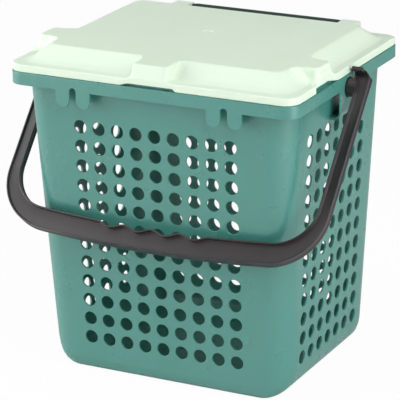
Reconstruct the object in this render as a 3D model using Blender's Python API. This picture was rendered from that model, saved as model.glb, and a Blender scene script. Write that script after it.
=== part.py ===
# Kitchen compost caddy: a perforated bucket, a hinged lid and a bail handle.
# Metres, +Z up, front towards -Y. The origin is the middle of the bucket's base.
from math import acos, atan2, cos, hypot, pi, radians, sin, sqrt

import bmesh
import bpy
from mathutils import Matrix

# Running clearance between pieces that touch or turn in each other
CLEARANCE = 0.0003

# Bucket walls: outside sizes where the walls would meet the base plane and the rim ledge
BUCKET_HEIGHT = 0.2626
BASE_WIDTH = 0.2193
BASE_DEPTH = 0.17
TOP_WIDTH = 0.241
TOP_DEPTH = 0.1934
WALL = 0.0016
BASE_CORNER = 0.0255
TOP_CORNER = 0.0195
SIDE_FOOT_RADIUS = 0.0245
FRONT_FOOT_RADIUS = 0.0125

# Round holes in a square grid on all four walls; the solids give each hole flat sides
HOLE_PITCH = 0.017
HOLE_DIAMETER = 0.0115
HOLE_SIDES = 6
FRONT_COLUMNS = 9
SIDE_COLUMNS = 7
HOLE_ROWS = 12
LOWEST_ROW = 0.0324

# Turned-down rim band, and the raised collar inside it that the lid fits round
RIM_REACH = 0.0088
RIM_BAND = 0.0107
RIM_WALL = 0.002
RIM_CORNER = 0.013
COLLAR_HEIGHT = 0.003
# Room round the collar, so that the back of the lid's edge band clears it as the lid swings up
COLLAR_GAP = 0.0013

# Two pairs of tongues that hang from the front of the rim band
TONGUE_PAIR_OFFSET = 0.068
TONGUE_SPACING = 0.0188
TONGUE_WIDTH = 0.0125
TONGUE_DROP = 0.0136
TONGUE_INSET = 0.0002

# Curved strap under the rim on each side, which backs up the handle's pivot
STRAP_LENGTH = 0.033
STRAP_STRAIGHT = 0.02225
STRAP_RADIUS = 0.0075
STRAP_WALL = 0.0016

# Handle pivot; it and the side holes lie a little in front of the bucket's middle
PIVOT_FORWARD = 0.0014
PIVOT_BELOW_LEDGE = 0.0107
PIVOT_PIN = 0.0146
PIVOT_RECESS = 0.0204
PIVOT_RECESS_DEPTH = 0.0007
PIVOT_PIN_INSIDE = 0.0025

# Handle, in its own plane: reach is measured from the pivot to the bar's outer edge
ARM_GAP = 0.0068
ARM_WIDTH = 0.0107
ARM_THICKNESS = 0.0066
BAR_REACH = 0.1654
BAR_WIDTH = 0.018
BAR_THICKNESS = 0.0102
BOW_RADIUS = 1.2
FACE_OFFSET = 0.0042
OUTER_CORNER = 0.0478
INNER_CORNER = 0.034
RIDGE = 0.0015
WEB_SHARE = 0.4
HEAD_START = 0.0085
HEAD_LENGTH = 0.0143
HEAD_FLARE = 0.0042
HEAD_CHAMFER = 0.0052
HOOK_WIDTH = 0.0112
HOOK_LENGTH = 0.0032
HOOK_HEIGHT = 0.0098
HOOK_TIP = 0.0034
FINGER_PITCH = 0.0256
FINGER_DEPTH = 0.0036
FINGER_COUNT = 4
HUB_DIAMETER = 0.0156

# Lid: edge band, sloped border and raised plateau
LID_INSET = 0.0005
LID_WALL = 0.002
LID_BAND = 0.0063
LID_LEDGE_X = 0.0094
LID_LEDGE_Y = 0.0112
LID_SLOPE_X = 0.0139
LID_SLOPE_Y = 0.0157
LID_RISE = 0.0121
PLATEAU_CORNER = 0.009

# Finger lugs on the lid's front and sides, over recesses in its edge band
FRONT_LUG_WIDTH = 0.029
FRONT_LUG_FLARE = 0.0015
FRONT_LUG_SET_BACK = 0.003
SIDE_LUG_FORWARD = 0.0424
SIDE_LUG_LENGTH = 0.0246
SIDE_LUG_FLARE = 0.0015
SIDE_LUG_SET_BACK = 0.002
FRONT_RECESS_HEIGHT = 0.0022
FRONT_RECESS_WIDTH = 0.05
SIDE_RECESS_HEIGHT = 0.0045
SIDE_RECESS_LENGTH = 0.0425
SIDE_RECESS_RAMP = 0.0195

# Lid hinge, behind the rim
HINGE_BEHIND_RIM = 0.0101
HINGE_ABOVE_LEDGE = 0.0065
HINGE_BAR_LENGTH = 0.1428
HINGE_BAR = 0.0068
HINGE_PIN = 0.0048
KNUCKLE_WIDTH = 0.0155
KNUCKLE = 0.0092
KNUCKLE_ARM = 0.002
BRACKET_SPACING = 0.058
BRACKET_COUNT = 3
BRACKET_WALL = 0.0026
BRACKET_DEPTH = 0.0089

# Points in a rounded corner, around a turned piece and round the handle's corners
CORNER_STEPS = 4
TURNED_SIDES = 16
HANDLE_CORNER_STEPS = 9


# Sizes that follow from the ones above
ledge_z = BUCKET_HEIGHT
rim_half_x = TOP_WIDTH / 2 + RIM_REACH
rim_half_y = TOP_DEPTH / 2 + RIM_REACH
collar_z = ledge_z + COLLAR_HEIGHT
pivot_z = ledge_z - PIVOT_BELOW_LEDGE
hinge_y = rim_half_y + HINGE_BEHIND_RIM
hinge_z = ledge_z + HINGE_ABOVE_LEDGE
lid_z = ledge_z + CLEARANCE
lid_ledge_z = lid_z + LID_BAND
plateau_z = lid_ledge_z + LID_RISE
arm_inner_x = rim_half_x + ARM_GAP
arm_outer_x = arm_inner_x + ARM_WIDTH


def clear_scene():
    for item in list(bpy.data.objects):
        bpy.data.objects.remove(item, do_unlink=True)


def plastic(name, colour, roughness):
    material = bpy.data.materials.new(name)
    material.use_nodes = True
    shader = material.node_tree.nodes["Principled BSDF"]
    shader.inputs["Base Color"].default_value = (*colour, 1)
    shader.inputs["Roughness"].default_value = roughness
    shader.inputs["Metallic"].default_value = 0
    material.diffuse_color = (*colour, 1)
    return material


def add_object(name, bm, material=None):
    """Makes an object of the bmesh; without a material it is a hidden cutter or helper."""
    bmesh.ops.recalc_face_normals(bm, faces=bm.faces)
    mesh = bpy.data.meshes.new(name)
    bm.to_mesh(mesh)
    bm.free()
    made = bpy.data.objects.new(name, mesh)
    bpy.context.scene.collection.objects.link(made)
    if material is None:
        made.hide_render = True
        made.display_type = "WIRE"
    else:
        mesh.materials.append(material)
        mesh.shade_smooth()
        mesh.set_sharp_from_angle(angle=radians(32))
    return made


def combine(target, operand, operation):
    modifier = target.modifiers.new(operand.name, "BOOLEAN")
    modifier.operation = operation
    modifier.solver = "EXACT"
    modifier.object = operand


def rounded_ring(bm, half_x, half_y, corner, z):
    """A ring of vertices round a rounded rectangle, anticlockwise from above."""
    ring = []
    for turn, (side_x, side_y) in enumerate(((1, 1), (-1, 1), (-1, -1), (1, -1))):
        for step in range(CORNER_STEPS + 1):
            angle = (turn + step / CORNER_STEPS) * pi / 2
            x = side_x * (half_x - corner) + corner * cos(angle)
            y = side_y * (half_y - corner) + corner * sin(angle)
            ring.append(bm.verts.new((x, y, z)))
    return ring


def loft(bm, rings):
    """Joins the rings in order, and closes the first and the last with a face."""
    for low, high in zip(rings, rings[1:]):
        for i in range(len(low)):
            j = (i + 1) % len(low)
            bm.faces.new((low[i], low[j], high[j], high[i]))
    bm.faces.new(list(reversed(rings[0])))
    bm.faces.new(rings[-1])


def prism(bm, outline, axis, low, high):
    """A closed prism: the outline lies in the plane across the axis, from low to high along it."""
    place = {
        "X": lambda u, v, w: (w, u, v),
        "Y": lambda u, v, w: (u, w, v),
        "Z": lambda u, v, w: (u, v, w),
    }[axis]
    loft(bm, [[bm.verts.new(place(u, v, w)) for u, v in outline] for w in (low, high)])


def circle(u, v, radius, sides, start=0.0):
    turns = [start + 2 * pi * i / sides for i in range(sides)]
    return [(u + radius * cos(a), v + radius * sin(a)) for a in turns]


def turned(bm, profile, centre_y, centre_z, sides=TURNED_SIDES):
    """A body turned about a line along X; the profile lists (x, radius) from one end to the other."""
    rings = []
    for x, radius in profile:
        outline = circle(centre_y, centre_z, radius, sides, pi / sides)
        rings.append([bm.verts.new((x, y, z)) for y, z in outline])
    loft(bm, rings)


def mirror_in_x(bm):
    """Adds a copy of everything in the bmesh, mirrored to the other side."""
    copy = bmesh.ops.duplicate(bm, geom=bm.verts[:] + bm.edges[:] + bm.faces[:])
    verts = [item for item in copy["geom"] if isinstance(item, bmesh.types.BMVert)]
    faces = [item for item in copy["geom"] if isinstance(item, bmesh.types.BMFace)]
    bmesh.ops.transform(bm, matrix=Matrix.Scale(-1, 4, (1, 0, 0)), verts=verts)
    bmesh.ops.reverse_faces(bm, faces=faces)


def foot_inset(radius, height):
    """How far a rounded foot draws a wall in, at a height above the foot's lowest point."""
    if height >= radius:
        return 0.0
    return radius - sqrt(max(radius**2 - (radius - height) ** 2, 0.0))


def wall_section(z, inward):
    """Half width, half depth and corner radius of the bucket at a height, inward from outside."""
    share = z / BUCKET_HEIGHT
    half_x = (BASE_WIDTH + (TOP_WIDTH - BASE_WIDTH) * share) / 2 - inward
    half_y = (BASE_DEPTH + (TOP_DEPTH - BASE_DEPTH) * share) / 2 - inward
    corner = BASE_CORNER + (TOP_CORNER - BASE_CORNER) * share - inward
    front_inset = foot_inset(FRONT_FOOT_RADIUS - inward, z - inward)
    side_inset = foot_inset(SIDE_FOOT_RADIUS - inward, z - inward)
    return half_x - side_inset, half_y - front_inset, corner - side_inset


def foot_levels(inward):
    """Heights of the rings up the foot, close together where it curves most."""
    front, side = FRONT_FOOT_RADIUS - inward, SIDE_FOOT_RADIUS - inward
    levels = {inward, inward + front, inward + side}
    levels.update(inward + front * (1 - cos(a * pi / 6)) for a in (1, 2))
    levels.add(inward + side * (1 - cos(pi / 2.6)))
    return sorted(levels)


def bucket_shell():
    bm = bmesh.new()
    under_z, hollow_z = ledge_z - RIM_WALL, collar_z - RIM_WALL
    collar_in = LID_INSET + LID_WALL + COLLAR_GAP
    outer = [rounded_ring(bm, *wall_section(z, 0), z) for z in (*foot_levels(0), hollow_z)]
    rim = []
    for inward, z in (
        (collar_in + RIM_WALL, hollow_z),
        (collar_in + RIM_WALL, under_z),
        (RIM_WALL, under_z),
        (RIM_WALL, ledge_z - RIM_BAND),
        (0, ledge_z - RIM_BAND),
        (0, ledge_z),
        (collar_in, ledge_z),
        (collar_in, collar_z),
    ):
        rim.append(rounded_ring(bm, rim_half_x - inward, rim_half_y - inward, RIM_CORNER - inward, z))
    inner_levels = (collar_z, *reversed(foot_levels(WALL)))
    inner = [rounded_ring(bm, *wall_section(z, WALL), z) for z in inner_levels]
    loft(bm, outer + rim + inner)
    return bm


def hole_cutters(columns, axis, middle=0.0):
    """One prism for each hole and its partner in the opposite wall."""
    bm = bmesh.new()
    # Corners lie just outside the round hole, so that the flat-sided one has the same area
    step = 2 * pi / HOLE_SIDES
    radius = HOLE_DIAMETER / 2 * sqrt(step / sin(step))
    for row in range(HOLE_ROWS):
        height = LOWEST_ROW + row * HOLE_PITCH
        reach = wall_section(height, 0)["XY".index(axis)] + WALL
        for column in range(columns):
            along = middle + (column - (columns - 1) / 2) * HOLE_PITCH
            prism(bm, circle(along, height, radius, HOLE_SIDES), axis, -reach, reach)
    return bm


def rim_tongues(bm):
    outer_y = -rim_half_y + TONGUE_INSET
    band_foot = ledge_z - RIM_BAND
    half = TONGUE_WIDTH / 2
    for pair in (-TONGUE_PAIR_OFFSET, TONGUE_PAIR_OFFSET):
        for middle in (pair - TONGUE_SPACING / 2, pair + TONGUE_SPACING / 2):
            tip = [
                (middle + half * cos(a), band_foot - TONGUE_DROP + half * (1 + sin(a)))
                for a in (pi * (1 + i / 8) for i in range(9))
            ]
            top = band_foot + RIM_BAND / 2
            outline = [(middle - half, top), *tip, (middle + half, top)]
            prism(bm, outline, "Y", outer_y, outer_y + RIM_WALL - 2 * TONGUE_INSET)


def tongue_slots():
    """Cutters for the round-topped slot between the tongues of each pair."""
    bm = bmesh.new()
    band_foot = ledge_z - RIM_BAND
    half = (TONGUE_SPACING - TONGUE_WIDTH) / 2 + TONGUE_INSET
    foot = band_foot - TONGUE_DROP - CLEARANCE
    for pair in (-TONGUE_PAIR_OFFSET, TONGUE_PAIR_OFFSET):
        arch = [(pair + half * cos(a), band_foot + half * sin(a)) for a in (pi * i / 8 for i in range(9))]
        outline = [(pair + half, foot), *arch, (pair - half, foot)]
        prism(bm, outline, "Y", -rim_half_y - CLEARANCE, -rim_half_y + RIM_WALL + CLEARANCE)
    return bm


def strap_outline():
    """The strap's section: down beside the rim band, then curling in to the wall."""
    outer_x = rim_half_x - TONGUE_INSET
    top_z = ledge_z - RIM_BAND / 2
    bend_z = ledge_z - STRAP_STRAIGHT - RIM_BAND / 2
    wall_x = wall_section(bend_z - STRAP_RADIUS, 0)[0] - WALL / 2
    outer, inner = [(outer_x, top_z)], [(outer_x - STRAP_WALL, top_z)]
    for i in range(6):
        angle = -pi / 2 * i / 5
        centre_x = outer_x - STRAP_RADIUS
        outer.append((centre_x + STRAP_RADIUS * cos(angle), bend_z + STRAP_RADIUS * sin(angle)))
        bend = STRAP_RADIUS - STRAP_WALL
        inner.append((centre_x + bend * cos(angle), bend_z + bend * sin(angle)))
    outer.append((wall_x, bend_z - STRAP_RADIUS))
    inner.append((wall_x, bend_z - STRAP_RADIUS + STRAP_WALL))
    return outer + inner[::-1]


def pivot_straps(bm):
    for side in (-1, 1):
        outline = [(side * x, z) for x, z in strap_outline()]
        prism(bm, outline, "Y", -PIVOT_FORWARD - STRAP_LENGTH / 2, -PIVOT_FORWARD + STRAP_LENGTH / 2)


def hinge_brackets(bm):
    """Gussets that carry the hinge bar behind the rim band."""
    root_y = rim_half_y - RIM_WALL / 2
    outline = [
        (root_y, ledge_z - RIM_WALL / 2),
        (root_y, ledge_z - BRACKET_DEPTH),
        (hinge_y - HINGE_BAR / 4, hinge_z - HINGE_BAR / 4),
        (hinge_y - HINGE_BAR / 4, hinge_z + HINGE_BAR / 4),
        (rim_half_y + LID_INSET, ledge_z - RIM_WALL / 2),
    ]
    for i in range(BRACKET_COUNT):
        middle = (i - (BRACKET_COUNT - 1) / 2) * BRACKET_SPACING
        prism(bm, outline, "X", middle - BRACKET_WALL / 2, middle + BRACKET_WALL / 2)


def hinge_bar():
    bm = bmesh.new()
    bar_end = HINGE_BAR_LENGTH / 2
    pin_end = bar_end + CLEARANCE + KNUCKLE_WIDTH
    half = [(bar_end, HINGE_BAR / 2), (bar_end, HINGE_PIN / 2), (pin_end, HINGE_PIN / 2)]
    turned(bm, [(-x, r) for x, r in reversed(half)] + half, hinge_y, hinge_z, 12)
    return bm


def pivot_cutters():
    """Bores for the handle's pins, each with a shallow recess round it on the outside."""
    bm = bmesh.new()
    bore, recess = PIVOT_PIN / 2 + CLEARANCE, PIVOT_RECESS / 2
    floor_x = rim_half_x - PIVOT_RECESS_DEPTH
    inside_x = rim_half_x - RIM_WALL - PIVOT_PIN_INSIDE
    outside_x = rim_half_x + CLEARANCE
    for side in (-1, 1):
        profile = [(inside_x, bore), (floor_x, bore), (floor_x, recess), (outside_x, recess)]
        turned(bm, [(side * x, radius) for x, radius in profile], -PIVOT_FORWARD, pivot_z)
    return bm


def make_bucket():
    bucket = add_object("bucket", bucket_shell(), plastic("bucket green", (0.145, 0.305, 0.265), 0.45))
    fittings = bmesh.new()
    rim_tongues(fittings)
    pivot_straps(fittings)
    hinge_brackets(fittings)
    combine(bucket, add_object("rim_fittings", fittings), "UNION")
    combine(bucket, add_object("hinge_bar", hinge_bar()), "UNION")
    combine(bucket, add_object("pivot_bores", pivot_cutters()), "DIFFERENCE")
    combine(bucket, add_object("tongue_slots", tongue_slots()), "DIFFERENCE")
    front_holes = hole_cutters(FRONT_COLUMNS, "Y")
    combine(bucket, add_object("front_holes", front_holes), "DIFFERENCE")
    side_holes = hole_cutters(SIDE_COLUMNS, "X", -PIVOT_FORWARD)
    combine(bucket, add_object("side_holes", side_holes), "DIFFERENCE")
    return bucket


def lid_profile(inward):
    """(half_x, half_y, corner, z) from the foot of the edge band to the plateau's edge."""
    edge_x, edge_y = rim_half_x - LID_INSET, rim_half_y - LID_INSET
    slope_x, slope_y = edge_x - LID_LEDGE_X, edge_y - LID_LEDGE_Y
    top_x, top_y = slope_x - LID_SLOPE_X, slope_y - LID_SLOPE_Y
    corner = RIM_CORNER - LID_INSET
    return [
        (edge_x - inward, edge_y - inward, corner - inward, lid_z),
        (edge_x - inward, edge_y - inward, corner - inward, lid_ledge_z - inward),
        (slope_x - inward / 2, slope_y - inward / 2, corner, lid_ledge_z - inward),
        (top_x - inward / 2, top_y - inward / 2, PLATEAU_CORNER, plateau_z - inward),
    ]


def lid_shell():
    bm = bmesh.new()
    inner = [rounded_ring(bm, *section) for section in reversed(lid_profile(LID_WALL))]
    outer = [rounded_ring(bm, *section) for section in lid_profile(0)]
    loft(bm, inner + outer)
    return bm


def frustum(bm, foot, top, foot_z, top_z):
    """A four-sided body: foot and top are (low_x, high_x, low_y, high_y)."""
    rings = []
    for (low_x, high_x, low_y, high_y), z in ((foot, foot_z), (top, top_z)):
        corners = ((low_x, low_y), (high_x, low_y), (high_x, high_y), (low_x, high_y))
        rings.append([bm.verts.new((x, y, z)) for x, y in corners])
    loft(bm, rings)


def finger_lugs(inward=0.0):
    """The lid's front and side lugs, or with a wall's thickness inward the hollows under them."""
    bm = bmesh.new()
    edge_x, edge_y = rim_half_x - LID_INSET, rim_half_y - LID_INSET
    plateau_x, plateau_y = lid_profile(0)[-1][:2]
    foot_z = lid_ledge_z - LID_WALL + CLEARANCE - inward
    top_z = plateau_z - CLEARANCE - inward
    margin = CLEARANCE + inward
    top_half = FRONT_LUG_WIDTH / 2 - inward
    foot_half = top_half + FRONT_LUG_FLARE
    root, foot_y, top_y = margin - plateau_y, margin - edge_y, inward - edge_y + FRONT_LUG_SET_BACK
    frustum(
        bm, (-foot_half, foot_half, foot_y, root), (-top_half, top_half, top_y, root), foot_z, top_z
    )
    top_half = SIDE_LUG_LENGTH / 2 - inward
    foot_half = top_half + SIDE_LUG_FLARE
    root, foot_x, top_x = plateau_x - margin, edge_x - margin, edge_x - SIDE_LUG_SET_BACK - inward
    for side in (-1, 1):
        frustum(
            bm,
            (side * root, side * foot_x, -SIDE_LUG_FORWARD - foot_half, -SIDE_LUG_FORWARD + foot_half),
            (side * root, side * top_x, -SIDE_LUG_FORWARD - top_half, -SIDE_LUG_FORWARD + top_half),
            foot_z,
            top_z,
        )
    return bm


def hinge_arms():
    """Arms from the lid's back slope to the knuckles on the hinge pins."""
    bm = bmesh.new()
    radius = KNUCKLE / 2
    under_z = lid_ledge_z - LID_WALL / 2
    # The arm's top is level with the knuckle's, and starts just inside the slope
    slope_foot_y = lid_profile(0)[-2][1]
    root_y = slope_foot_y - LID_SLOPE_Y * (hinge_z + radius - lid_ledge_z) / LID_RISE - KNUCKLE_ARM
    knuckle = [
        (hinge_y + radius * sin(a), hinge_z + radius * cos(a)) for a in (i * pi / 8 for i in range(13))
    ]
    outline = [(root_y, hinge_z + radius), *knuckle, (rim_half_y + LID_INSET, under_z), (root_y, under_z)]
    low = HINGE_BAR_LENGTH / 2 + CLEARANCE
    for side in (-1, 1):
        prism(bm, outline, "X", side * low, side * (low + KNUCKLE_WIDTH))
    return bm


def lid_cutters():
    """Bores for the hinge pins, and the finger recesses in the edge band."""
    bm = bmesh.new()
    low = HINGE_BAR_LENGTH / 2 - CLEARANCE
    high = low + KNUCKLE_WIDTH + 4 * CLEARANCE
    for side in (-1, 1):
        bore = circle(hinge_y, hinge_z, HINGE_PIN / 2 + CLEARANCE, 12, pi / 12)
        prism(bm, bore, "X", side * low, side * high)
    edge_x, edge_y = rim_half_x - LID_INSET, rim_half_y - LID_INSET
    foot, top = lid_z - CLEARANCE, lid_z + FRONT_RECESS_HEIGHT
    half = FRONT_RECESS_WIDTH / 2
    half_top = half - FRONT_RECESS_HEIGHT
    outline = [(-half, foot), (half, foot), (half_top, top), (-half_top, top)]
    prism(bm, outline, "Y", -edge_y - CLEARANCE, -edge_y + LID_WALL + CLEARANCE)
    front = -SIDE_LUG_FORWARD - SIDE_RECESS_LENGTH / 2
    back = front + SIDE_RECESS_LENGTH
    top = lid_z + SIDE_RECESS_HEIGHT
    outline = [(front, foot), (back, foot), (back - SIDE_RECESS_RAMP, top), (front, top)]
    for side in (-1, 1):
        reach = (edge_x - LID_WALL - CLEARANCE, edge_x + CLEARANCE)
        prism(bm, outline, "X", side * reach[0], side * reach[1])
    return bm


def make_lid():
    hinge = bpy.data.objects.new("lid_hinge", None)
    hinge.location = (0, hinge_y, hinge_z)
    bpy.context.scene.collection.objects.link(hinge)
    lid = add_object("lid", lid_shell(), plastic("lid mint", (0.72, 0.86, 0.68), 0.42))
    helpers = [
        (add_object("lid_lugs", finger_lugs()), "UNION"),
        (add_object("lid_lug_hollows", finger_lugs(LID_WALL)), "DIFFERENCE"),
        (add_object("lid_arms", hinge_arms()), "UNION"),
        (add_object("lid_recesses", lid_cutters()), "DIFFERENCE"),
    ]
    for helper, operation in helpers:
        combine(lid, helper, operation)
    for item in (lid, *[helper for helper, _ in helpers]):
        item.parent = hinge
        item.matrix_parent_inverse = Matrix.Translation(hinge.location).inverted()
    return lid


def finger_wave(x):
    """How far the finger grips cut into the bar's inner edge."""
    if abs(x) >= FINGER_COUNT * FINGER_PITCH / 2:
        return 0.0
    return FINGER_DEPTH * (1 - cos(2 * pi * x / FINGER_PITCH)) / 2


def handle_corner(arm_x, corner, middle_reach):
    """Points round one corner of the handle's outline, from the bowed bar to the straight arm."""
    centre_x = arm_x - corner
    bow_end = centre_x / (1 - corner / BOW_RADIUS)
    tilt = (bow_end - centre_x) / corner
    centre_reach = middle_reach - bow_end**2 / (2 * BOW_RADIUS) - corner * sqrt(1 - tilt**2)
    first = acos(tilt)
    turns = [first * (1 - i / HANDLE_CORNER_STEPS) for i in range(HANDLE_CORNER_STEPS + 1)]
    return [(centre_x + corner * cos(a), centre_reach + corner * sin(a)) for a in turns]


def handle_stations():
    """Half the handle, middle to head: outer and inner edge points and the thickness at each."""
    stations = []
    inner_middle = BAR_REACH - BAR_WIDTH
    grip_half = FINGER_COUNT * FINGER_PITCH / 2
    bar_end = arm_outer_x - OUTER_CORNER
    grip_steps = 4 * FINGER_COUNT
    places = [i * grip_half / grip_steps for i in range(grip_steps + 1)]
    places += [grip_half + (bar_end - grip_half) * share for share in (0.4, 0.8)]
    for x in places:
        bow = x**2 / (2 * BOW_RADIUS)
        outer, inner = BAR_REACH - bow, inner_middle - bow + finger_wave(x)
        stations.append(((x, outer), (x, inner), BAR_THICKNESS))
    corners = zip(
        handle_corner(arm_outer_x, OUTER_CORNER, BAR_REACH),
        handle_corner(arm_inner_x, INNER_CORNER, inner_middle),
    )
    for i, (outer, inner) in enumerate(corners):
        share = i / HANDLE_CORNER_STEPS
        thickness = BAR_THICKNESS + (ARM_THICKNESS - BAR_THICKNESS) * share
        stations.append((outer, inner, thickness))
    chamfer_reach = HEAD_CHAMFER - HEAD_LENGTH
    head_slope = HEAD_FLARE / (HEAD_START + HEAD_LENGTH)
    chamfer_inner = arm_inner_x - head_slope * (HEAD_START - chamfer_reach)
    head_edges = (
        ((arm_outer_x, HEAD_START), (arm_inner_x, HEAD_START)),
        ((arm_outer_x, chamfer_reach), (chamfer_inner, chamfer_reach)),
        ((arm_outer_x - HEAD_CHAMFER, -HEAD_LENGTH), (arm_inner_x - HEAD_FLARE, -HEAD_LENGTH)),
    )
    stations += [(outer, inner, ARM_THICKNESS) for outer, inner in head_edges]
    return stations


def section_ring(bm, outer, inner, thickness):
    """A ridge along each edge with a web between them, on both faces."""
    across = hypot(outer[0] - inner[0], outer[1] - inner[1])
    ridge = RIDGE / across
    recess = thickness * (1 - WEB_SHARE) / 2
    front, back = FACE_OFFSET, FACE_OFFSET - thickness
    sketch = [
        (0, front),
        (ridge, front),
        (ridge, front - recess),
        (1 - ridge, front - recess),
        (1 - ridge, front),
        (1, front),
        (1, back),
        (1 - ridge, back),
        (1 - ridge, back + recess),
        (ridge, back + recess),
        (ridge, back),
        (0, back),
    ]
    ring = []
    for share, height in sketch:
        x = inner[0] + (outer[0] - inner[0]) * share
        reach = inner[1] + (outer[1] - inner[1]) * share
        ring.append(bm.verts.new((x, -reach, height)))
    return ring


def handle_frame():
    bm = bmesh.new()
    half = handle_stations()
    other = [
        ((-outer[0], outer[1]), (-inner[0], inner[1]), thickness)
        for outer, inner, thickness in reversed(half[1:])
    ]
    loft(bm, [section_ring(bm, *station) for station in other + half])
    return bm


def handle_hubs():
    """The round hubs inside the heads, with the pins that turn in the rim band."""
    bm = bmesh.new()
    face_x = arm_inner_x + RIDGE / 2
    pin_tip = rim_half_x - RIM_WALL - PIVOT_PIN_INSIDE + CLEARANCE
    hub_x = rim_half_x + CLEARANCE
    pin = [
        (pin_tip, PIVOT_PIN / 2 - RIDGE),
        (pin_tip + RIDGE, PIVOT_PIN / 2),
        (hub_x, PIVOT_PIN / 2),
        (hub_x, HUB_DIAMETER / 2),
        (face_x, HUB_DIAMETER / 2),
    ]
    turned(bm, pin, 0, 0)
    mirror_in_x(bm)
    return bm


def handle_hooks():
    """A small cap on each head, which reaches in over the rim."""
    bm = bmesh.new()
    low_x = rim_half_x + CLEARANCE
    high_x = low_x + HOOK_WIDTH
    neck_x = arm_inner_x - HEAD_FLARE / 2
    tip_foot = HOOK_HEIGHT - HOOK_TIP
    foot = FACE_OFFSET - ARM_THICKNESS + CLEARANCE
    outline = [
        (low_x, tip_foot),
        (low_x + HOOK_TIP / 2, HOOK_HEIGHT),
        (high_x, HOOK_HEIGHT),
        (high_x, foot),
        (neck_x, foot),
        (neck_x, tip_foot),
    ]
    prism(bm, outline, "Y", HEAD_LENGTH - HOOK_LENGTH, HEAD_LENGTH + CLEARANCE)
    mirror_in_x(bm)
    return bm


def rest_angle():
    """The handle's fall below level when its bar meets the flat of the front wall."""
    draft = atan2((TOP_DEPTH - BASE_DEPTH) / 2, BUCKET_HEIGHT)
    wall_distance = (wall_section(pivot_z, 0)[1] - PIVOT_FORWARD) * cos(draft) + CLEARANCE
    angles = []
    for _, (x, reach), thickness in handle_stations():
        if x > TOP_WIDTH / 2 - TOP_CORNER:
            break
        back = FACE_OFFSET - thickness
        angles.append(atan2(back, reach) + acos(wall_distance / hypot(reach, back)))
    return draft + min(angles)


def make_handle():
    handle = add_object("handle", handle_frame(), plastic("handle black", (0.045, 0.038, 0.041), 0.4))
    hubs = add_object("handle_hubs", handle_hubs())
    hooks = add_object("handle_hooks", handle_hooks())
    combine(handle, hubs, "UNION")
    combine(handle, hooks, "UNION")
    pivot = bpy.data.objects.new("handle_pivot", None)
    pivot.location = (0, -PIVOT_FORWARD, pivot_z)
    pivot.rotation_euler.x = rest_angle()
    bpy.context.scene.collection.objects.link(pivot)
    for item in (handle, hubs, hooks):
        item.parent = pivot
    return handle


clear_scene()
make_bucket()
make_lid()
make_handle()
bpy.context.view_layer.update()
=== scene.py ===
from math import acos, cos, hypot, pi, radians, sin, sqrt

import bpy
from mathutils import Matrix, Vector


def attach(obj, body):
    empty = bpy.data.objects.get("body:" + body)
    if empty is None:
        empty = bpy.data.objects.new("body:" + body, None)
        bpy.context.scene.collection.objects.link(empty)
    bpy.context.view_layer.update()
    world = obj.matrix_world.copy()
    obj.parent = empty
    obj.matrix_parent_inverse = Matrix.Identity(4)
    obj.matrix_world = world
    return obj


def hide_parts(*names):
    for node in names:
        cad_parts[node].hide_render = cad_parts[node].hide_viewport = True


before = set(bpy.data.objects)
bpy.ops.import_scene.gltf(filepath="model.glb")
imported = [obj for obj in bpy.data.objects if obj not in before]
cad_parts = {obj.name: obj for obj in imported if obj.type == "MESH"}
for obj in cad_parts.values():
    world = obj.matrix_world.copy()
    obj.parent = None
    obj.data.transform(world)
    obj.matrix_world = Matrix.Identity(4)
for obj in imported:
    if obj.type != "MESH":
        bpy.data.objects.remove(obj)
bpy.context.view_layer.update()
print("frame loaded:", ", ".join(sorted(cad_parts)))


# Shared mesh helpers

# degrees above which an edge stays crisp, for each kind of shape, then the weight of the even shading
# and the steps of a bevel
shading = {"plain": 34, "turned": 40, "bevelled": 50, "flowing": 60, "evenWeight": 80, "bevelSteps": 3}
cornerShare = 0.3  # how far the middle point of a small rounding lies from its corner


def makePiece(name, points, faces, body, slotName, finish, crisp=shading["plain"]):
    mesh = bpy.data.meshes.new(name)
    mesh.from_pydata([tuple(p) for p in points], [], faces)
    mesh.validate()
    mesh.materials.append(finish)
    piece = bpy.data.objects.new(name, mesh)
    bpy.context.scene.collection.objects.link(piece)
    shadePiece(piece, crisp)
    if body:
        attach(piece, body)
    return piece


def shadePiece(piece, crisp):
    piece.data.shade_smooth()
    piece.data.set_sharp_from_angle(angle=radians(crisp))
    evened = piece.modifiers.new("even shading", "WEIGHTED_NORMAL")
    evened.keep_sharp = True
    evened.weight = shading["evenWeight"]


def settle(piece, crisp):
    # turns the modifiers of a piece into its mesh
    view = bpy.context.evaluated_depsgraph_get()
    solid = bpy.data.meshes.new_from_object(piece.evaluated_get(view), depsgraph=view)
    piece.modifiers.clear()
    piece.data = solid
    shadePiece(piece, crisp)


def cutAway(piece, points, faces):
    # takes a closed shape out of a piece
    cutter = makePiece(piece.name + "Cutter", points, faces, None, None, piece.data.materials[0])
    cut = piece.modifiers.new("cut", "BOOLEAN")
    cut.operation, cut.solver, cut.object = "DIFFERENCE", "EXACT", cutter
    piece.modifiers.remove(piece.modifiers["even shading"])
    settle(piece, shading["bevelled"])
    bpy.data.objects.remove(cutter)


def softenEdges(piece, width):
    # rounds the edges of a plain prism
    piece.modifiers.remove(piece.modifiers["even shading"])
    rounding = piece.modifiers.new("rounding", "BEVEL")
    rounding.width, rounding.segments = width, shading["bevelSteps"]
    rounding.limit_method, rounding.angle_limit = "ANGLE", radians(shading["plain"])
    rounding.use_clamp_overlap = True
    settle(piece, shading["bevelled"])


def stitch(faces, low, high):
    # quads between two closed rows of points, the first row below the second
    for i in range(len(low)):
        j = (i + 1) % len(low)
        faces.append((low[i], low[j], high[j], high[i]))


def addRow(points, row):
    first = len(points)
    points.extend(row)
    return list(range(first, len(points)))


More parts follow.
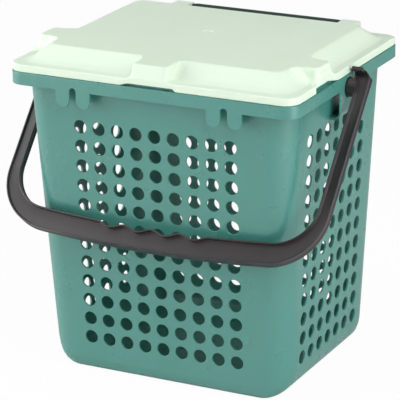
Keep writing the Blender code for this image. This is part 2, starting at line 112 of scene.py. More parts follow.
def layRows(rows, closeEnds=True):
    # a closed skin through rows of points, with a face over each end, or else joined end to end
    points, faces = [], []
    rings = [addRow(points, row) for row in rows]
    for low, high in zip(rings, rings[1:]):
        stitch(faces, low, high)
    if closeEnds:
        faces.append(tuple(reversed(rings[0])))
        faces.append(tuple(rings[-1]))
    else:
        stitch(faces, rings[-1], rings[0])
    return points, faces


def joinShapes(shapes):
    points, faces = [], []
    for morePoints, moreFaces in shapes:
        shift = len(points)
        points += morePoints
        faces += [tuple(i + shift for i in face) for face in moreFaces]
    return points, faces


def mirrorShape(shape):
    points, faces = shape
    return [(-x, y, z) for x, y, z in points], [tuple(reversed(face)) for face in faces]


def prismShape(outline, axis, low, high):
    place = {"X": lambda u, v, w: (w, u, v), "Y": lambda u, v, w: (u, w, v)}[axis]
    turn = sum(a[0] * b[1] - b[0] * a[1] for a, b in zip(outline, outline[1:] + outline[:1]))
    if (turn > 0) != (axis == "X"):
        outline = outline[::-1]
    return layRows([[place(u, v, w) for u, v in outline] for w in (low, high)])


def turnedShape(profile, centreY, centreZ, sides):
    # a body turned about a line along X, from the smallest x to the largest
    rows = []
    for x, radius in profile:
        turns = [2 * pi * (i + 0.5) / sides for i in range(sides)]
        rows.append([(x, centreY + radius * cos(a), centreZ + radius * sin(a)) for a in turns])
    return layRows(rows)


def roundedRow(halfX, halfY, corner, z, marksX=(), marksY=(), steps=9):
    # anticlockwise from above, starting at the front's left end, with extra points at the marks
    row = []
    along, outward = (1, 0), (0, -1)
    for side in range(4):
        flat = (halfX if side % 2 == 0 else halfY) - corner
        reach = halfY if side % 2 == 0 else halfX
        marks = marksX if side % 2 == 0 else marksY
        marks = sorted(m if side < 2 else -m for m in marks)
        for s in (-flat, *marks, flat):
            row.append((along[0] * s + outward[0] * reach, along[1] * s + outward[1] * reach, z))
        for step in range(1, steps):
            a = pi / 2 * step / steps
            s, out = flat + corner * sin(a), reach - corner + corner * cos(a)
            row.append((along[0] * s + outward[0] * out, along[1] * s + outward[1] * out, z))
        along, outward = (-along[1], along[0]), (-outward[1], outward[0])
    return row


def smoothMin(a, b, blend):
    h = max(blend - abs(a - b), 0) / blend
    return min(a, b) - h * h * blend / 4


def smoothMax(a, b, blend):
    return -smoothMin(-a, -b, blend)


# Moulded plastics

bucketFinish = {"colour": (0.066, 0.268, 0.226), "tint": (0.058, 0.252, 0.210), "rough": 0.28,
                "grain": 0.00002, "streaks": 0.5, "shine": 0.9}
# the hinge bar's colour is the sage green darkened as painted shade, for the shadow the bar lies in behind
# the lid
hingeShadeFinish = {"colour": (0.013, 0.042, 0.032), "tint": (0.011, 0.036, 0.028), "rough": 0.45,
               "shine": 0.4}
lidFinish = {"colour": (0.75, 0.875, 0.725), "tint": (0.73, 0.86, 0.705), "rough": 0.52,
             "grain": 0.00002, "streaks": 0.3, "shine": 0.25}
handleFinish = {"colour": (0.021, 0.017, 0.019), "tint": (0.028, 0.022, 0.024), "rough": 0.33,
                "grain": 0.00003, "streaks": 0.4, "shine": 0.7}


plasticTexture = {
    "flowStretch": (9, 9, 2.5), "flowScale": 2.2, "flowDetail": 3,
    "patchScale": 35, "patchDetail": 4, "patchLow": 0.3, "patchHigh": 0.7,
    "smoother": 0.015, "rougher": 0.02, "grainScale": 420, "grainDetail": 2, "grainStrength": 0.3,
    "index": 1.49,
}


def addNoise(tree, place, scale, detail):
    noise = tree.nodes.new("ShaderNodeTexNoise")
    noise.inputs["Scale"].default_value = scale
    noise.inputs["Detail"].default_value = detail
    tree.links.new(place, noise.inputs["Vector"])
    return noise.outputs["Fac"]


def addRange(tree, value, low, high, newLow=0, newHigh=1):
    spread = tree.nodes.new("ShaderNodeMapRange")
    limits = {"From Min": low, "From Max": high, "To Min": newLow, "To Max": newHigh}
    for socket, number in limits.items():
        spread.inputs[socket].default_value = number
    tree.links.new(value, spread.inputs["Value"])
    return spread.outputs["Result"]


def mouldedPlastic(name, finish):
    # two near colours in soft flow marks, an uneven gloss and a fine leathery grain
    t = plasticTexture
    material = bpy.data.materials.new(name)
    material.use_nodes = True
    tree = material.node_tree
    shader = tree.nodes["Principled BSDF"]
    add, link = tree.nodes.new, tree.links.new
    place = add("ShaderNodeTexCoord").outputs["Object"]
    stretch = add("ShaderNodeMapping")
    stretch.inputs["Scale"].default_value = t["flowStretch"]
    link(place, stretch.inputs["Vector"])
    flow = addNoise(tree, stretch.outputs["Vector"], t["flowScale"], t["flowDetail"])
    colour = add("ShaderNodeMix")
    colour.data_type = "RGBA"
    colour.inputs[6].default_value = (*finish["colour"], 1)  # the Mix node's colour A
    colour.inputs[7].default_value = (*finish["tint"], 1)  # and colour B
    streaks = addRange(tree, flow, 0.5 - finish["streaks"] / 2, 0.5 + finish["streaks"] / 2)
    link(streaks, colour.inputs["Factor"])
    link(colour.outputs[2], shader.inputs["Base Color"])
    patches = addNoise(tree, place, t["patchScale"], t["patchDetail"])
    gloss = addRange(tree, patches, t["patchLow"], t["patchHigh"],
                     finish["rough"] - t["smoother"], finish["rough"] + t["rougher"])
    link(gloss, shader.inputs["Roughness"])
    bump = add("ShaderNodeBump")
    bump.inputs["Strength"].default_value = t["grainStrength"]
    bump.inputs["Distance"].default_value = finish["grain"]
    link(addNoise(tree, place, t["grainScale"], t["grainDetail"]), bump.inputs["Height"])
    link(bump.outputs["Normal"], shader.inputs["Normal"])
    shader.inputs["IOR"].default_value = t["index"]
    shader.inputs["Specular IOR Level"].default_value = finish["shine"]
    return material


sageGreen = mouldedPlastic("sage green polypropylene", bucketFinish)
# sage green with painted shade darkening its colour, for the hinge bar
shadeDarkenedGreen = mouldedPlastic("sage green darkened as painted shade", {**bucketFinish, **hingeShadeFinish})
paleMint = mouldedPlastic("pale mint polypropylene", lidFinish)
warmBlack = mouldedPlastic("warm black polypropylene", handleFinish)
print("plastics mixed")


# Bucket walls with their round air holes

wallSizes = {
    "height": 0.2626, "baseX": 0.10965, "baseY": 0.085, "topX": 0.1205, "topY": 0.0967,
    "thick": 0.0016, "baseCorner": 0.0255, "topCorner": 0.0195, "sideFoot": 0.0245, "frontFoot": 0.0125,
    "pitch": 0.017, "hole": 0.0115, "lowestRow": 0.0324, "rows": 12, "frontColumns": 9, "sideColumns": 7,
    "sideMiddle": -0.0014, "holeSides": 28, "holeEdge": 0.00022, "cornerSteps": 9, "joinHeight": 0.2585,
    "footSteps": 6, "footGap": 0.0004,
}


def footInset(radius, height):
    # how far the rounded foot of the wall stands back at a height
    return radius - sqrt(max(radius**2 - (radius - height) ** 2, 0)) if height < radius else 0


def wallAt(z, inward):
    # half width, half depth and corner radius of the wall at a height
    w = wallSizes
    share = z / w["height"]
    halfX = w["baseX"] + (w["topX"] - w["baseX"]) * share - inward
    halfY = w["baseY"] + (w["topY"] - w["baseY"]) * share - inward
    corner = w["baseCorner"] + (w["topCorner"] - w["baseCorner"]) * share - inward
    sideInset = footInset(w["sideFoot"] - inward, z - inward)
    return halfX - sideInset, halfY - footInset(w["frontFoot"] - inward, z - inward), corner - sideInset


def columnMarks(columns, middle=0):
    # the lines between the columns of holes
    return [middle + (i - columns / 2) * wallSizes["pitch"] for i in range(columns + 1)]


def footHeights(inward, top):
    # heights of the rows of points round the rounded foot
    heights = {inward}
    for radius in (wallSizes["frontFoot"] - inward, wallSizes["sideFoot"] - inward):
        for step in range(1, wallSizes["footSteps"]):
            heights.add(inward + radius * (1 - cos(pi / 2 * step / wallSizes["footSteps"])))
        heights.add(inward + radius)
    return sorted(h for h in heights if h < top - wallSizes["footGap"])


def holeCell(points, faces, side, along, height, corners, inside):
    # the wall round one hole, from the square of wall it sits in down to the hole's far edge
    w = wallSizes
    directions = (((1, 0), (0, -1)), ((0, 1), (1, 0)), ((-1, 0), (0, 1)), ((0, -1), (-1, 0)))
    (ax, ay), (ox, oy) = directions[side]
    count, quarter = w["holeSides"], w["holeSides"] // 4

    def ring(radius, inward):
        row = []
        for i in range(count):
            a = -pi / 4 + 2 * pi * i / count
            s, z = along + radius * cos(a), height + radius * sin(a)
            reach = wallAt(z, inward)[1 if side % 2 == 0 else 0]
            row.append((ax * s + ox * reach, ay * s + oy * reach, z))
        return addRow(points, row)

    outer = ring(w["hole"] / 2 + w["holeEdge"], 0)
    edge = ring(w["hole"] / 2, w["holeEdge"])
    inner = ring(w["hole"] / 2, w["thick"])
    stitch(faces, inner, edge)
    stitch(faces, edge, outer)
    for rim, square, flip in ((outer, corners, False), (inner, inside, True)):
        # the square's corners: right low, right high, left high, left low
        for q in range(4):
            arc = [rim[(q * quarter + i) % count] for i in range(quarter + 1)]
            face = (square[q], square[(q + 1) % 4], *reversed(arc))
            faces.append(tuple(reversed(face)) if flip else face)


def makeWalls():
    w = wallSizes
    marksX, marksY = columnMarks(w["frontColumns"]), columnMarks(w["sideColumns"], w["sideMiddle"])
    gridLow = w["lowestRow"] - w["pitch"] / 2
    borders = [gridLow + i * w["pitch"] for i in range(w["rows"] + 1)]
    points, faces = [], []

    def ringAt(z, inward):
        return addRow(points, roundedRow(*wallAt(z, inward), z, marksX, marksY, w["cornerSteps"]))

    # the outer and the inner skin, as rows of points by height
    skins = []
    for inward in (0, w["thick"]):
        levels = footHeights(inward, gridLow) + borders + [w["joinHeight"]]
        skins.append({z: ringAt(z, inward) for z in levels})
    outerSkin, innerSkin = skins
    perSide = [len(marksX) + 2 + w["cornerSteps"] - 1, len(marksY) + 2 + w["cornerSteps"] - 1]
    starts = [0, perSide[0], perSide[0] + perSide[1], 2 * perSide[0] + perSide[1]]
    total = 2 * (perSide[0] + perSide[1])
    # which point of a row starts a square with a hole in it, on which side and how far along
    cellAt = {}
    for side, start in enumerate(starts):
        marks = marksX if side % 2 == 0 else marksY
        marks = sorted(m if side < 2 else -m for m in marks)
        for i in range(len(marks) - 1):
            cellAt[start + 1 + i] = (side, (marks[i] + marks[i + 1]) / 2)
    for skin, flip in ((outerSkin, False), (innerSkin, True)):
        levels = sorted(skin)
        for z, nextZ in zip(levels, levels[1:]):
            low, high = skin[z], skin[nextZ]
            for i in range(total):
                j = (i + 1) % total
                if z in borders and nextZ in borders and i in cellAt:
                    if not flip:
                        side, along = cellAt[i]
                        inLow, inHigh = innerSkin[z], innerSkin[nextZ]
                        holeCell(points, faces, side, along, (z + nextZ) / 2,
                                 (low[j], high[j], high[i], low[i]),
                                 (inLow[j], inHigh[j], inHigh[i], inLow[i]))
                    continue
                face = (low[i], low[j], high[j], high[i])
                faces.append(tuple(reversed(face)) if flip else face)
        floor = skin[levels[0]]
        faces.append(tuple(floor) if flip else tuple(reversed(floor)))
    stitch(faces, outerSkin[w["joinHeight"]], innerSkin[w["joinHeight"]])
    walls = makePiece("bucketWalls", points, faces, "bucket", "bucket_green", sageGreen)
    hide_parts("bucket")


makeWalls()
print("bucket walls made")


# Rim band, ledge and collar

rimSizes = {
    "halfX": 0.1293, "halfY": 0.1055, "ledge": 0.2626, "band": 0.0107, "thick": 0.002, "corner": 0.013,
    "collarIn": 0.0038, "collarTop": 0.2656, "round": 0.0006, "fillet": 0.0009, "cornerSteps": 9,
    "pivotY": -0.0014, "pivotHeight": 0.2519, "bore": 0.0076, "boreDepth": 0.006, "recess": 0.0086,
    "recessDepth": 0.0004, "boreSides": 40, "cutMargin": 0.001,
}
tongueSizes = {"pairAt": 0.068, "spacing": 0.0188, "width": 0.0125, "drop": 0.0136, "proud": 0.00003,
               "round": 0.0003, "tipSteps": 14, "slotSteps": 16}


def bendPoints(fromPoint, corner, toPoint, steps=3):
    # a small rounded bend between three points of a section
    bend = []
    for i in range(steps + 1):
        t = i / steps
        parts = zip(fromPoint, corner, toPoint)
        bend.append(tuple(a * (1 - t) ** 2 + 2 * b * t * (1 - t) + c * t**2 for a, b, c in parts))
    return bend


def roundedSection(corners):
    # corners are (inward, height, radius); each one with a radius is rounded
    section = []
    count = len(corners)
    for i, (x, z, radius) in enumerate(corners):
        if not radius:
            section.append((x, z))
            continue
        around = []
        for px, pz, _ in (corners[i - 1], corners[(i + 1) % count]):
            length = hypot(px - x, pz - z)
            around.append((x + (px - x) * radius / length, z + (pz - z) * radius / length))
        section += bendPoints(around[0], (x, z), around[1])
    return section


def makeRim():
    # one section of band, ledge and collar, taken round the bucket
    r, w = rimSizes, wallSizes
    under, foot, ledge = r["ledge"] - r["thick"], r["ledge"] - r["band"], r["ledge"]
    reach = r["halfX"] - w["topX"]
    hollowIn, hollowTop = r["collarIn"] + r["thick"], r["collarTop"] - r["thick"]
    joinOut = r["halfX"] - wallAt(w["joinHeight"], 0)[0]
    small, fillet = r["round"], r["fillet"]
    section = roundedSection([
        (joinOut, w["joinHeight"], 0), (reach, hollowTop, fillet), (hollowIn, hollowTop, fillet),
        (hollowIn, under, small), (r["thick"], under, fillet), (r["thick"], foot, small),
        (0, foot, small), (0, ledge, small), (r["collarIn"], ledge, small),
        (r["collarIn"], r["collarTop"], small), (reach + w["thick"], r["collarTop"], small),
        (joinOut + w["thick"], w["joinHeight"], 0),
    ])
    rows = []
    for inward, z in section:
        # the corner radius runs from the rim's to the wall's
        share = min(max((inward - hollowIn) / (reach - hollowIn), 0), 1)
        corner = (r["corner"] - min(inward, hollowIn)) * (1 - share) + w["topCorner"] * share
        corner -= max(inward - reach, 0)
        halfX, halfY = r["halfX"] - inward, r["halfY"] - inward
        rows.append(roundedRow(halfX, halfY, corner, z, steps=r["cornerSteps"]))
    points, faces = layRows(rows, closeEnds=False)
    rim = makePiece("rimBand", points, faces, "bucket", "bucket_green", sageGreen, shading["bevelled"])
    # the round-topped slot between the two tongues of each pair
    t = tongueSizes
    slotHalf = (t["spacing"] - t["width"]) / 2
    slots = []
    for pair in (-t["pairAt"], t["pairAt"]):
        turns = [pi * i / t["slotSteps"] for i in range(t["slotSteps"] + 1)]
        arch = [(pair + slotHalf * cos(a), foot + slotHalf * sin(a)) for a in turns]
        outline = [(pair + slotHalf, foot - slotHalf), *arch, (pair - slotHalf, foot - slotHalf)]
        slots.append(prismShape(outline, "Y", -r["halfY"] - r["cutMargin"], -r["halfY"] + 2 * r["thick"]))
    cutAway(rim, *joinShapes(slots + pivotCuts()))


def pivotCuts():
    # the bore for each handle pin and the shallow recess round it
    r = rimSizes
    deep, floor = r["halfX"] - r["boreDepth"], r["halfX"] - r["recessDepth"]
    out = r["halfX"] + r["cutMargin"]
    profile = [(deep, r["bore"]), (floor, r["bore"]), (floor, r["recess"]), (out, r["recess"])]
    right = turnedShape(profile, r["pivotY"], r["pivotHeight"], r["boreSides"])
    return [right, mirrorShape(right)]


def tongueOutline(middle, grow):
    # one tongue seen from the front, grown or shrunk all round
    t, r = tongueSizes, rimSizes
    half = t["width"] / 2 + grow
    foot = r["ledge"] - r["band"] - t["drop"] - grow
    tip = [
        (middle + half * cos(a), foot + half * (1 + sin(a)))
        for a in (pi * (1 + i / t["tipSteps"]) for i in range(t["tipSteps"] + 1))
    ]
    top = r["ledge"] - r["round"] + min(grow, 0)
    return [(middle - half, top), *tip, (middle + half, top)]


def makeTongues():
    t, r = tongueSizes, rimSizes
    shapes = []
    front = -r["halfY"] - t["proud"]
    back = -r["halfY"] + r["thick"]
    soft = t["round"]
    bend = soft * cornerShare
    levels = [(front, -soft), (front + bend, -bend), (front + soft, 0), (back - soft, 0),
              (back - bend, -bend), (back, -soft)]
    for pair in (-t["pairAt"], t["pairAt"]):
        for middle in (pair - t["spacing"] / 2, pair + t["spacing"] / 2):
            rows = [[(u, y, v) for u, v in tongueOutline(middle, grow)] for y, grow in reversed(levels)]
            shapes.append(layRows(rows))
    makePiece("rimTongues", *joinShapes(shapes), "bucket", "bucket_green", sageGreen, shading["bevelled"])


makeRim()
makeTongues()
print("rim and tongues made")


# Straps behind the handle's hubs, and the hinge bar at the back

strapSizes = {"length": 0.033, "straight": 0.02225, "radius": 0.0075, "thick": 0.0016, "proud": 0.00008,
              "bendSteps": 12, "round": 0.0003}
hingeSizes = {
    "behind": 0.0101, "above": 0.0065, "length": 0.1428, "bar": 0.0068, "pin": 0.0048,
    "pinLength": 0.0135, "taper": 0.004, "taperShare": 0.86, "endShare": 0.8, "round": 0.0005, "sides": 28,
    "brackets": 3, "bracketSpacing": 0.058, "bracketWall": 0.0026, "bracketDepth": 0.0089,
    "bracketRound": 0.0003,
}


def makeStraps():
    # a strap down beside the band on each side, which curls in to the wall
    s, r = strapSizes, rimSizes
    outerX = r["halfX"] + s["proud"]
    topZ = r["ledge"] - r["round"] * 1.5  # just under the rim's rounded edge
    bendZ = r["ledge"] - s["straight"] - r["band"] / 2
    wallX = wallAt(bendZ - s["radius"], 0)[0] - wallSizes["thick"] / 2
    outer, inner = [(outerX, topZ)], [(outerX - s["thick"], topZ)]
    for i in range(s["bendSteps"] + 1):
        a = -pi / 2 * i / s["bendSteps"]
        centreX = outerX - s["radius"]
        outer.append((centreX + s["radius"] * cos(a), bendZ + s["radius"] * sin(a)))
        bend = s["radius"] - s["thick"]
        inner.append((centreX + bend * cos(a), bendZ + bend * sin(a)))
    outer.append((wallX, bendZ - s["radius"]))
    inner.append((wallX, bendZ - s["radius"] + s["thick"]))
    front, back = r["pivotY"] - s["length"] / 2, r["pivotY"] + s["length"] / 2
    right = prismShape(outer + inner[::-1], "Y", front, back)
    points, faces = joinShapes([right, mirrorShape(right)])
    straps = makePiece("pivotStraps", points, faces, "bucket", "bucket_green", sageGreen)
    softenEdges(straps, s["round"])
    cutAway(straps, *joinShapes(pivotCuts()))


def makeHingeBar():
    # a bar with a pin at each end for the lid, on brackets behind the rim
    h, r = hingeSizes, rimSizes
    y, z = r["halfY"] + h["behind"], r["ledge"] + h["above"]
    end, bar, pin, soft = h["length"] / 2, h["bar"] / 2, h["pin"] / 2, h["round"]
    tip = end + h["pinLength"]
    half = [(0, bar), (end - h["taper"], bar), (end - soft, bar * h["taperShare"]),
            (end, bar * h["endShare"]), (end, pin), (tip - soft, pin), (tip, pin - soft)]
    profile = [(-x, radius) for x, radius in reversed(half[1:])] + half
    # the bar takes the green darkened as painted shade
    makePiece("hingeBar", *turnedShape(profile, y, z, h["sides"]), "bucket", "bucket_green", shadeDarkenedGreen)
    root = r["halfY"] - r["thick"] / 2
    outline = [
        (root, r["ledge"] - r["thick"] / 2), (root, r["ledge"] - h["bracketDepth"]),
        (y - h["bar"] / 4, z - h["bar"] / 4), (y - h["bar"] / 4, z + h["bar"] / 4),
        (r["halfY"] + soft, r["ledge"] - r["thick"] / 2),
    ]
    gussets = []
    for i in range(h["brackets"]):
        x = (i - (h["brackets"] - 1) / 2) * h["bracketSpacing"]
        gussets.append(prismShape(outline, "X", x - h["bracketWall"] / 2, x + h["bracketWall"] / 2))
    brackets = makePiece("hingeGussets", *joinShapes(gussets), "bucket", "bucket_green", sageGreen)
    softenEdges(brackets, h["bracketRound"])


makeStraps()
makeHingeBar()
print("straps and hinge bar made")


# Lid

lidSizes = {
    "edgeX": 0.1288, "edgeY": 0.105, "corner": 0.0125, "foot": 0.2629, "band": 0.0063,
    "ledgeX": 0.0094, "ledgeY": 0.0112, "slopeX": 0.0139, "slopeY": 0.0157, "rise": 0.0121,
    "plateauCorner": 0.009, "thick": 0.002, "edgeRound": 0.0008, "edgeSteps": 5, "hollow": 0.0042,
    "ridge": 0.0012, "footRound": 0.0003, "innerRound": 0.0002, "cornerSteps": 10,
    "rearDrop": 0.0013, "rearFrom": 0.09,
    "frontRecess": 0.025, "frontRecessHeight": 0.0022, "leftRamp": 0.008, "rightRamp": 0.0022,
    "sideRecess": 0.02125, "sideRecessHeight": 0.0045, "sideRamp": 0.0195,
}
gateMark = {
    "x": -0.0028, "y": 0.0061, "radius": 0.0058, "depth": 0.0006,
    "profile": ((1.0, 0), (0.97, 0.5), (0.92, 0.85), (0.84, 1.0), (0.3, 1.0), (0.2, 0.7), (0.12, 0.3)),
}
lugSizes = {
    "front": {"at": 0.0008, "half": 0.0158, "setBack": 0.0025, "corner": 0.0035, "skirt": 0.005},
    "side": {"at": -0.0434, "half": 0.013, "setBack": 0.0016, "corner": 0.0045, "skirt": 0.008},
    "recessAt": -0.0424, "draft": 0.0008, "topRound": 0.0018, "footBlend": 0.001,
}
armSizes = {"from": 0.0717, "width": 0.0155, "knuckle": 0.0084, "overlap": 0.002, "round": 0.0005,
            "bore": 0.0027, "end": 0.0015, "past": 0.0005, "sides": 28, "knuckleSteps": 24}
# where the lid's mesh has its rows of points, and the points along them
lidMesh = {
    # shares of the way from the edge (0) over the slope's foot (1) to the plateau (2)
    "shares": (0.095, 0.12, 0.145, 0.17, 0.195, 0.22, 0.25, 0.28, 0.32, 0.37, 0.44, 0.52, 0.6, 0.68,
               0.76, 0.84, 0.92, 1.0, 1.08, 1.16, 1.24, 1.32, 1.4, 1.55, 1.7, 1.82, 1.9, 1.95, 2.0,
               2.05, 2.1, 2.16),
    "innerFrom": 0.25,
    # distances from each flank of a lug
    "flankOffsets": (-0.0052, -0.0042, -0.0034, -0.0027, -0.0021, -0.0016, -0.0011, -0.0007, -0.0003, 0,
                     0.0003, 0.0007, 0.0012, 0.0018, 0.0026, 0.0036, 0.0048, 0.0062, 0.009),
    "frontExtra": 0.055, "sideExtra": (0.0015, 0.03, 0.055), "beforeStep": 0.00002, "afterStep": 0.00003,
}


def lugHeight(x, y, base, shrink):
    # the skin of whichever finger lug stands here: a top with rounded corners and edges, steep walls
    # below it and a hollow skirt from the walls down to the border
    z, g = lidSizes, lugSizes
    ledge, best = z["foot"] + z["band"], 0
    top = ledge + z["rise"]
    for across, out, edge, lug in (
        (abs(x - g["front"]["at"]), -y, z["edgeY"], g["front"]),
        (abs(y - g["side"]["at"]), abs(x), z["edgeX"], g["side"]),
    ):
        if out < edge / 2:
            continue
        fromFace, fromFlank = edge - out - shrink - lug["setBack"], lug["half"] - across - shrink
        a, b = lug["corner"] - fromFace, lug["corner"] - fromFlank
        if a > 0 and b > 0:
            inside, share = lug["corner"] - hypot(a, b), a**2 / (a**2 + b**2)
        else:
            inside, share = min(fromFace, fromFlank), fromFace < fromFlank
        soft, lean = g["topRound"], g["draft"] + (lug["setBack"] - g["draft"]) * share
        if inside < 0:
            core = top - soft + inside * (z["rise"] - soft) / lean
        else:
            core = top - soft + sqrt(soft**2 - (soft - min(inside, soft)) ** 2)
        curve = lug["skirt"] - min(max(-inside - g["draft"], 0), lug["skirt"])
        skirt = smoothMin(base + lug["skirt"] - sqrt(lug["skirt"] ** 2 - curve**2), top, z["ridge"])
        best = max(best, min(smoothMax(core, skirt, g["footBlend"]), top))
    return best


def lidHeight(x, y, base, drop=0):
    # height of the lid's skin over a row whose plain height is base
    top = lidSizes["foot"] + lidSizes["band"] + lidSizes["rise"]
    return max(smoothMin(base, top, lidSizes["ridge"]), lugHeight(x, y, base, drop)) - drop


def lidBase(u):
    # plain height across the border: u is 0 at the edge, 1 at the slope's foot and 2 at the plateau
    z = lidSizes
    ledge = z["foot"] + z["band"]
    return smoothMax(ledge, ledge + z["rise"] * (u - 1), z["hollow"])


def lidRow(u, inward):
    # half width, half depth and corner radius of a row of points
    z = lidSizes
    low, share = (0, u) if u < 1 else (1, u - 1)
    footX, footY = z["edgeX"] - z["ledgeX"], z["edgeY"] - z["ledgeY"]
    stops = [(z["edgeX"], z["edgeY"], z["corner"]), (footX, footY, z["corner"]),
             (footX - z["slopeX"], footY - z["slopeY"], z["plateauCorner"])]
    halfX, halfY, corner = (a + (b - a) * share for a, b in zip(stops[low], stops[low + 1]))
    return halfX - inward, halfY - inward, corner


def flankMarks(lug):
    # points close together at both flanks of a lug
    return [lug["at"] + s * (lug["half"] + o) for o in lidMesh["flankOffsets"] for s in (-1, 1)]


def lidMarks():
    # extra points along the front and the sides, at the lugs and recesses
    z, m = lidSizes, lidMesh
    half = z["frontRecess"]
    front = [half, half - z["rightRamp"], half - z["leftRamp"], m["frontExtra"]]
    frontMarks = [0, *flankMarks(lugSizes["front"])] + [s * f for f in front for s in (-1, 1)]
    start, end = lugSizes["recessAt"] - z["sideRecess"], lugSizes["recessAt"] + z["sideRecess"]
    sideMarks = [*flankMarks(lugSizes["side"]), start - m["beforeStep"], start + m["afterStep"], end,
                 end - z["sideRamp"], *m["sideExtra"]]
    return frontMarks, sideMarks


def bandFoot(x, y):
    # the edge band's lower edge, lifted over the finger recesses
    z, at = lidSizes, lugSizes["recessAt"]
    if abs(x) < z["frontRecess"] and y < -z["edgeY"] / 2:
        ramp = z["leftRamp"] if x < 0 else z["rightRamp"]
        return z["foot"] + z["frontRecessHeight"] * min((z["frontRecess"] - abs(x)) / ramp, 1)
    if abs(x) > z["edgeX"] - 2 * z["thick"] and abs(y - at) < z["sideRecess"]:
        return z["foot"] + z["sideRecessHeight"] * min((at + z["sideRecess"] - y) / z["sideRamp"], 1)
    return z["foot"]


def makeLid():
    z, g = lidSizes, gateMark
    marksX, marksY = lidMarks()
    ledge, soft, thick = z["foot"] + z["band"], z["edgeRound"], z["thick"]

    def rowAt(u, inward, height, drop=z["rearDrop"]):
        # the border behind the slope sinks a little towards its edge
        flat = roundedRow(*lidRow(u, inward), 0, marksX, marksY, z["cornerSteps"])
        row = []
        for x, y, _ in flat:
            back = min(max((y - z["rearFrom"]) / (z["edgeY"] - z["rearFrom"]), 0), 1)
            sink = drop * (1 - min(u, 1)) * back**2 * (3 - 2 * back)
            row.append((x, y, height(x, y) - sink))
        return row

    # from the middle of the underside out to the band's foot, up the band and in over the top
    rows = []
    for u in reversed(lidMesh["shares"]):
        if u > lidMesh["innerFrom"]:
            rows.append(rowAt(u, thick / 2, lambda x, y: lidHeight(x, y, lidBase(u), thick)))
    rows.append(rowAt(0, thick, lambda x, y: lidHeight(x, y, ledge, thick)))
    rows.append(rowAt(0, thick, lambda x, y: bandFoot(x, y) + z["innerRound"], 0))
    rows.append(rowAt(0, thick - z["innerRound"], bandFoot, 0))
    rows.append(rowAt(0, z["footRound"], bandFoot, 0))
    rows.append(rowAt(0, 0, lambda x, y: bandFoot(x, y) + z["footRound"], 0))
    for i in range(z["edgeSteps"] + 1):
        a = pi / 2 * i / z["edgeSteps"]
        low = ledge - soft + soft * sin(a)
        rows.append(rowAt(0, soft * (1 - cos(a)), lambda x, y: lidHeight(x, y, low)))
    for u in lidMesh["shares"]:
        rows.append(rowAt(u, 0, lambda x, y: lidHeight(x, y, lidBase(u))))
    points, faces = [], []
    rings = [addRow(points, row) for row in rows]
    for low, high in zip(rings, rings[1:]):
        stitch(faces, low, high)
    faces.append(tuple(reversed(rings[0])))
    # a shallow round gate mark in the flat top, with a pip in its middle
    top = ledge + z["rise"]
    last = rings[-1]
    for share, depth in g["profile"]:
        row = []
        for i in rings[-1]:
            away = Vector((points[i][0] - g["x"], points[i][1] - g["y"])).normalized()
            reach = share * g["radius"]
            row.append((g["x"] + away.x * reach, g["y"] + away.y * reach, top - depth * g["depth"]))
        ring = addRow(points, row)
        stitch(faces, last, ring)
        last = ring
    faces.append(tuple(last))
    lid = makePiece("lidShell", points, faces, "lid", "lid_mint", paleMint, shading["flowing"])
    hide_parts("lid")


def makeLidArms():
    # an arm on each side, from the rear slope to a knuckle round the hinge pin
    z, a, h, r = lidSizes, armSizes, hingeSizes, rimSizes
    hingeY, hingeZ, radius = r["halfY"] + h["behind"], r["ledge"] + h["above"], a["knuckle"] / 2
    ledge = z["foot"] + z["band"]
    footY = z["edgeY"] - z["ledgeY"]
    rootY = footY - z["slopeY"] * (hingeZ + radius - ledge) / z["rise"] - a["overlap"]
    under = ledge - z["thick"] / 2
    # three quarters of a turn round the pin
    turns = [1.5 * pi * i / a["knuckleSteps"] for i in range(a["knuckleSteps"] + 1)]
    knuckle = [(hingeY + radius * sin(t), hingeZ + radius * cos(t)) for t in turns]
    outline = [(rootY, hingeZ + radius), *knuckle, (r["halfY"] + a["past"], under), (rootY, under)]
    right = prismShape(outline, "X", a["from"], a["from"] + a["width"])
    points, faces = joinShapes([right, mirrorShape(right)])
    arms = makePiece("lidHingeArms", points, faces, "lid", "lid_mint", paleMint)
    softenEdges(arms, a["round"])
    boreFrom, boreTo = a["from"] - r["cutMargin"], a["from"] + a["width"] - a["end"]
    bore = turnedShape([(boreFrom, a["bore"]), (boreTo, a["bore"])], hingeY, hingeZ, a["sides"])
    cutAway(arms, *joinShapes([bore, mirrorShape(bore)]))


makeLid()
makeLidArms()
print("lid made")


# Handle: ridged bar and arms in one sweep, drawn flat and then hung from the pivot

handleSizes = {
    "hang": 48.93894837, "armInner": 0.1361, "armOuter": 0.1468, "armThick": 0.0066,
    "reach": 0.1654, "barWidth": 0.018, "barThick": 0.0102, "bow": 1.2, "face": 0.0042,
    "outerCorner": 0.0478, "innerCorner": 0.034, "cornerSteps": 26, "ridge": 0.0015, "web": 0.4,
    "fingers": 4, "fingerPitch": 0.0256, "fingerDepth": 0.0036, "stepsPerFinger": 18,
    "headStart": 0.0085, "headLength": 0.0143, "headFlare": 0.0042, "headChamfer": 0.0052,
    "round": 0.00045, "channel": 0.0004, "lip": 0.0022, "lipShare": 0.3, "lipRise": 0.0006,
    "ridgeDraft": 0.0002, "straightSteps": 5, "chamferSteps": 3,
}
headSizes = {
    "capWidth": 0.0112, "capLength": 0.0032, "capHeight": 0.0098, "capTip": 0.0034, "capFrom": 0.1296,
    "capOverlap": 0.0003, "hub": 0.0078, "pin": 0.0073, "pinTip": 0.1251, "round": 0.0005, "sides": 48,
}


def fingerWave(x):
    # how far the finger grips cut into the bar's inner edge
    h = handleSizes
    if abs(x) >= h["fingers"] * h["fingerPitch"] / 2:
        return 0
    return h["fingerDepth"] * (1 - cos(2 * pi * x / h["fingerPitch"])) / 2


